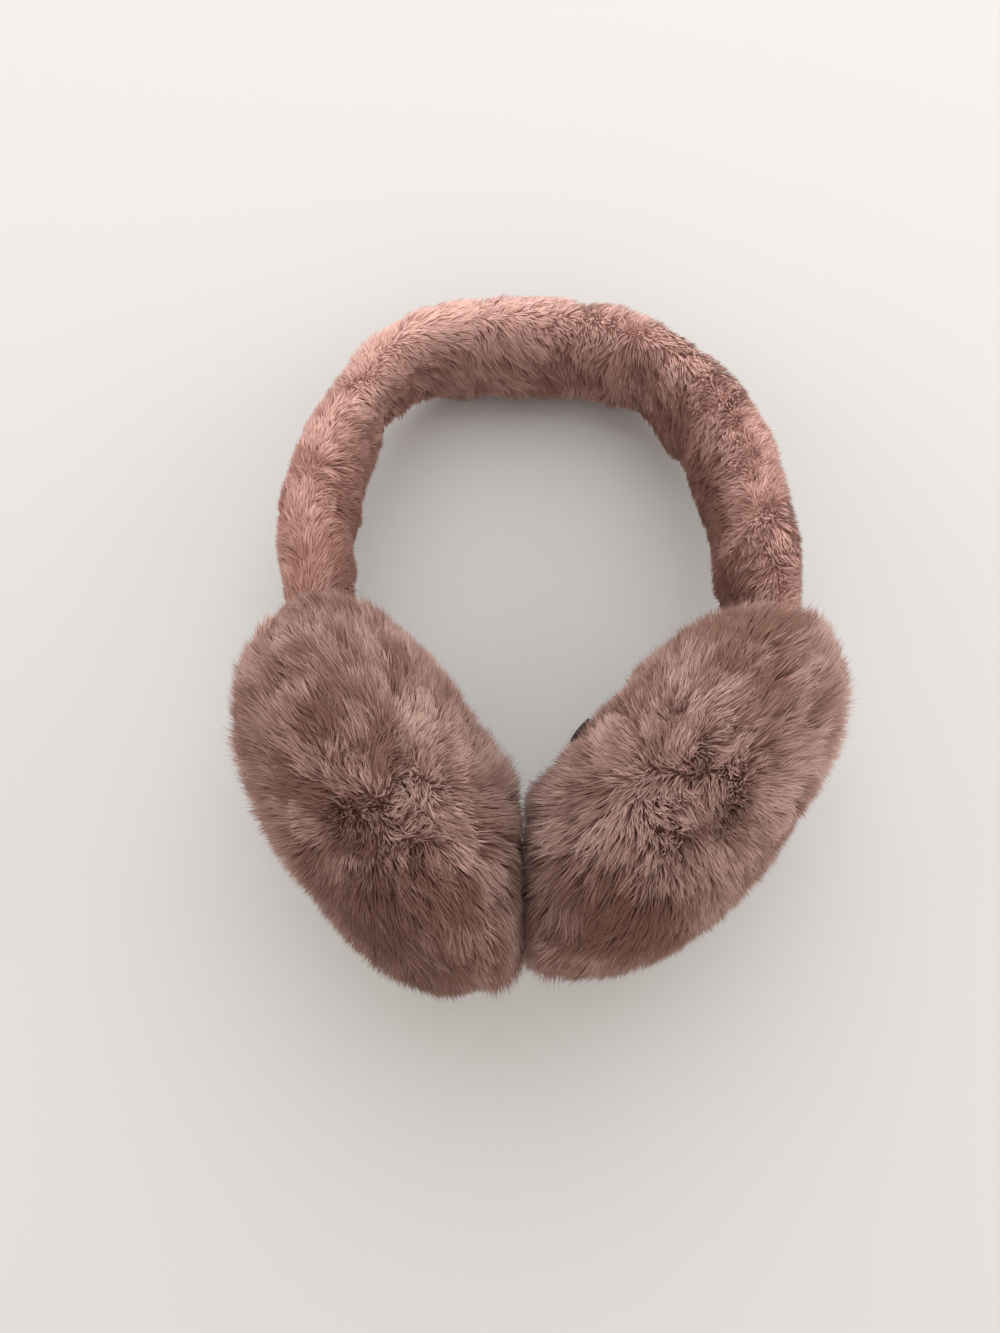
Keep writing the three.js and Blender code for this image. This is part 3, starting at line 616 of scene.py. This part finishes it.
def makePad(name):
    pad = pads[name]
    side = pad["side"]
    out, along, rise = padDirections(pad)
    ball = bmesh.new()
    bmesh.ops.create_icosphere(ball, subdivisions=5, radius=1)
    seeds = unit(np.array([v.co[:] for v in ball.verts]))
    faces = [[v.index for v in f.verts] for f in ball.faces]
    ball.free()
    roots = padPoint(pad, seeds, pads["pileDepth"])
    roots[:, 2] = np.maximum(roots[:, 2], pads["lowest"])
    wall = common["meeting"] + side * pads["pressed"]
    roots[:, 0] = side * np.maximum(side * roots[:, 0], side * wall)
    skin = meshObject(f"ear_pad_{name}_backing", roots, faces)
    normals = normalsOf(skin)
    outline = padPoint(pad, seeds, 0.0)
    # the fur runs away from a whorl at the top, and wanders
    whorlXY = np.array(pad["whorl"])
    top = np.argmin(np.hypot(*(outline[:, :2] - whorlXY).T) + 1000 * (outline[:, 2] < 80))
    away = outline - outline[top]
    distance = np.linalg.norm(away, axis=1)
    away = unit(away - normals * np.sum(away * normals, axis=1)[:, None])
    ruly = 0.15 + 0.85 * smooth(distance, 3, 30)[:, None]
    loose = np.stack([noiseAt(outline, 9, 3.0 + 7 * k + side) for k in range(3)], axis=1)
    away = away * ruly + loose * 3.0 * (1 - ruly)
    away = away - normals * np.sum(away * normals, axis=1)[:, None]
    away *= np.minimum(1, 1.3 / np.maximum(np.linalg.norm(away, axis=1, keepdims=True), 1e-6))
    away = turned(away, normals, 0.8 * noiseAt(outline, 45, 2.0 + side) + 0.75 * noiseAt(outline, 17, 6.0))
    shortest = pads["whorlReach"]
    reach = shortest + (pads["pileReach"] - shortest) * smooth(distance, 4, 50)
    reach = reach * (1 + 0.2 * noiseAt(outline, 26, 4.0))
    tipSeeds = padSeeds(pad, outline + away * reach[:, None])
    inset = 0.6 + 0.8 * noiseAt(outline, 16, 9.0)
    free = smooth(np.abs(outline[:, 0] - common["meeting"]), 1, 9)
    inset = inset * free - pads["puff"] * (1 - free) - spread(outline, pad["swells"])
    tips = padPoint(pad, tipSeeds, inset)
    # it lies round the leg that it holds, and none grows under that
    entry = legEntries[name]
    legOut = unit(np.cross(archTop, -side * archDown))
    halfThick, halfWide = pads["legHalf"]
    legEnd = -band["seat"] - 1
    ahead, a, b, far = roundLeg(tips, entry, legOut)
    push = np.where((far < 1.0) & (ahead > legEnd), 1.0 / np.maximum(far, 0.25), 1.0)
    tips = (entry - np.outer(ahead, archDown) + np.outer(a * push * halfThick, legOut)
            + np.outer(b * push * halfWide, archTop))
    ahead, a, b, far = roundLeg(roots, entry, legOut)
    cover = (1 - ((far < 0.8) & (ahead > legEnd))) * (1.5 - 0.5 * smooth(distance, 8, 34))
    # it stands higher round the label, most of all over it, and is pressed under it
    if name == "right":
        off = tips - np.array(pad["middle"])
        beside = np.maximum(np.abs(off @ along - label["along"]) - label["length"] / 2,
                            np.abs(off @ rise - label["up"]) - label["height"] / 2)
        inner = (off @ out < 0).astype(float)
        tips = tips - np.outer(inner * label["ruff"] * (1 - smooth(beside, 1.0, 6)), out)
        fringeUp, fringe = label["fringe"]
        over = 1 - smooth(np.abs(off @ rise - label["up"] - fringeUp), 2, 5)
        tips = tips - np.outer(inner * fringe * over * (1 - smooth(beside, 1, 8)), out)
        tips = tips + np.outer(inner * label["pressed"] * (1 - smooth(beside, -0.6, 0.8)), out)
    # darker and lighter patches at random, painted light and shade on the upper part, and a little lighter near
    # the floor
    tone = 0.5 + 0.2 * noiseAt(outline, 30, 12.0) + 0.12 * noiseAt(outline, 12, 15.0)
    upper = smooth(outline[:, 2], 35, 65)
    tone = tone + 0.06 * (1 - upper) + spread(outline, pad["paintedLightAndShade"]) * upper
    groom(skin, reach=(tips - roots) * mm, cover=cover, tone=tone, half=(seeds[:, 2] > 0).astype(float))
    return skin


for name in ("left", "right"):
    skin = makePad(name)
    skin.data.materials.append(padBacking)
    side = pads[name]["side"]
    for half, face in enumerate(("inner", "outer")):
        fur = growFur(skin, f"ear_pad_{name}_fur_{face}", padFur, pads["strands"], half, {
            **pads["fur"], "Seed": pads["seed"] + half, "Lock Size": pads[name]["lockSize"],
            "Lock Stray": pads[name]["lockStray"], "Wall": common["meeting"] + side * pads["apart"],
            "Wall Side": float(side)})
        pieces.append((fur, f"ear_pad_{name}", "pad_fur"))
    pieces.append((skin, f"ear_pad_{name}", "pad_fur"))
    print("ear pad", name, "done")

# Label: a blank black woven tab on the inner face of the right pad


def labelMaterial():
    # Black polyester satin ribbon: a fine weave with a soft lustre
    material = bpy.data.materials.new("labelSatin")
    material.use_nodes = True
    material.node_tree.nodes.clear()
    node = partial(addNode, material.node_tree)
    place = node("ShaderNodeTexCoord").outputs["Object"]
    lines = node("ShaderNodeTexWave", {"bands_direction": "Z"}, Vector=place, Scale=700.0, Distortion=0.6,
                 Detail=1.0, Detail_Scale=2.0)
    tint = node("ShaderNodeMix", {"data_type": "RGBA"}, lines, linear("#0a090b"), linear("#1d1b1f"))
    bump = node("ShaderNodeBump", None, Strength=0.5, Distance=0.0002, Height=lines)
    satin = node("ShaderNodeBsdfPrincipled", None, tint, Roughness=0.6, Specular_IOR_Level=0.3, Normal=bump,
                 Anisotropic=0.4)
    node("ShaderNodeOutputMaterial", None, satin)
    return material


def makeLabel():
    pad = pads["right"]
    out, along, rise = padDirections(pad)
    share = math.hypot(label["along"], label["up"]) / (pads["diameter"] / 2)
    face = pads["thickness"] / 2 * math.sqrt(1 - share * share) + label["proud"] - label["thickness"] / 2
    tab = bmesh.new()
    bmesh.ops.create_cube(tab, size=1)
    bmesh.ops.subdivide_edges(tab, edges=tab.edges, cuts=6, use_grid_fill=True)
    points = np.array([v.co[:] for v in tab.verts])
    faces = [[v.index for v in f.verts] for f in tab.faces]
    tab.free()
    bowAcross, bowUp = label["bow"]
    bow = bowUp * (points[:, 2] * 2) ** 2 + bowAcross * (points[:, 1] * 2) ** 2
    place = (np.array(pad["middle"]) + np.outer(points[:, 0] * label["thickness"] - face + bow, out)
             + np.outer(points[:, 1] * label["length"] + label["along"], along)
             + np.outer(points[:, 2] * label["height"] + label["up"], rise))
    return meshObject("pad_label_tab", place, faces)


labelTab = makeLabel()
labelTab.data.materials.append(labelMaterial())
pieces.append((labelTab, "pad_label", "label_tape"))
print("label done")

for piece, node, finish in pieces:
    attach(piece, "root")
    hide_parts(node)
for name, fill in (("headband_backing", 0.7), ("ear_pad_left_backing", 0.8), ("ear_pad_right_backing", 0.8)):
    layers = bpy.data.objects[name].data.attributes
    for spare in common["groomed"]:
        layers.remove(layers[spare])

# Floor, light and camera

stage = {
    "floor": "#bfbcb9",
    "lights": [("key", (0.05, 0.85, 0.95), 1.5, 18, "#f6fbff"),
               ("sideRight", (0.95, 0.1, 0.45), 0.8, 3, "#ffffff"),
               ("sideLeft", (-0.95, 0.1, 0.45), 0.8, 2.1, "#ffffff"),
               ("fill", (0.1, -0.9, 0.8), 1.2, 2, "#ffffff")],  # place in metres, size, power, colour
    "aim": (0, 0, 0.03),
    "sky": "#fff9f4",
    "skyStrength": 0.8,
    "half": 4,  # of the floor, in metres
    "eye": (-11.54, -36.38, 308.82),  # the camera, as a phone held over the table
    "pitch": 5,
    "lens": 26.2,
}

floorMesh = bpy.data.meshes.new("floor")
far = stage["half"]
floorMesh.from_pydata([(-far, -far, 0), (far, -far, 0), (far, far, 0), (-far, far, 0)], [], [(0, 1, 2, 3)])
floor = bpy.data.objects.new("floor", floorMesh)
bpy.context.scene.collection.objects.link(floor)
paper = bpy.data.materials.new("floorPaper")
paper.use_nodes = True
paper.node_tree.nodes["Principled BSDF"].inputs["Base Color"].default_value = linear(stage["floor"])
paper.node_tree.nodes["Principled BSDF"].inputs["Roughness"].default_value = 0.9
floorMesh.materials.append(paper)

world = bpy.data.worlds.new("studio")
world.use_nodes = True
world.node_tree.nodes["Background"].inputs[0].default_value = linear(stage["sky"])
world.node_tree.nodes["Background"].inputs[1].default_value = stage["skyStrength"]
bpy.context.scene.world = world

for name, place, size, power, colour in stage["lights"]:
    lamp = bpy.data.lights.new(name, "AREA")
    lamp.shape, lamp.size, lamp.energy = "DISK", size, power
    lamp.color = linear(colour)[:3]
    holder = bpy.data.objects.new(name, lamp)
    holder.location = place
    holder.rotation_euler = (Vector(stage["aim"]) - Vector(place)).to_track_quat("-Z", "Y").to_euler()
    bpy.context.scene.collection.objects.link(holder)

eye = bpy.data.cameras.new("camera")
eye.sensor_fit, eye.sensor_height, eye.lens = "VERTICAL", 36, stage["lens"]
eye.clip_start, eye.clip_end = 0.01, 20
camera = bpy.data.objects.new("camera", eye)
camera.location = Vector(stage["eye"]) * mm
camera.rotation_euler = (math.radians(stage["pitch"]), 0, 0)
bpy.context.scene.collection.objects.link(camera)
bpy.context.scene.camera = camera
bpy.context.scene.view_settings.view_transform = "Standard"
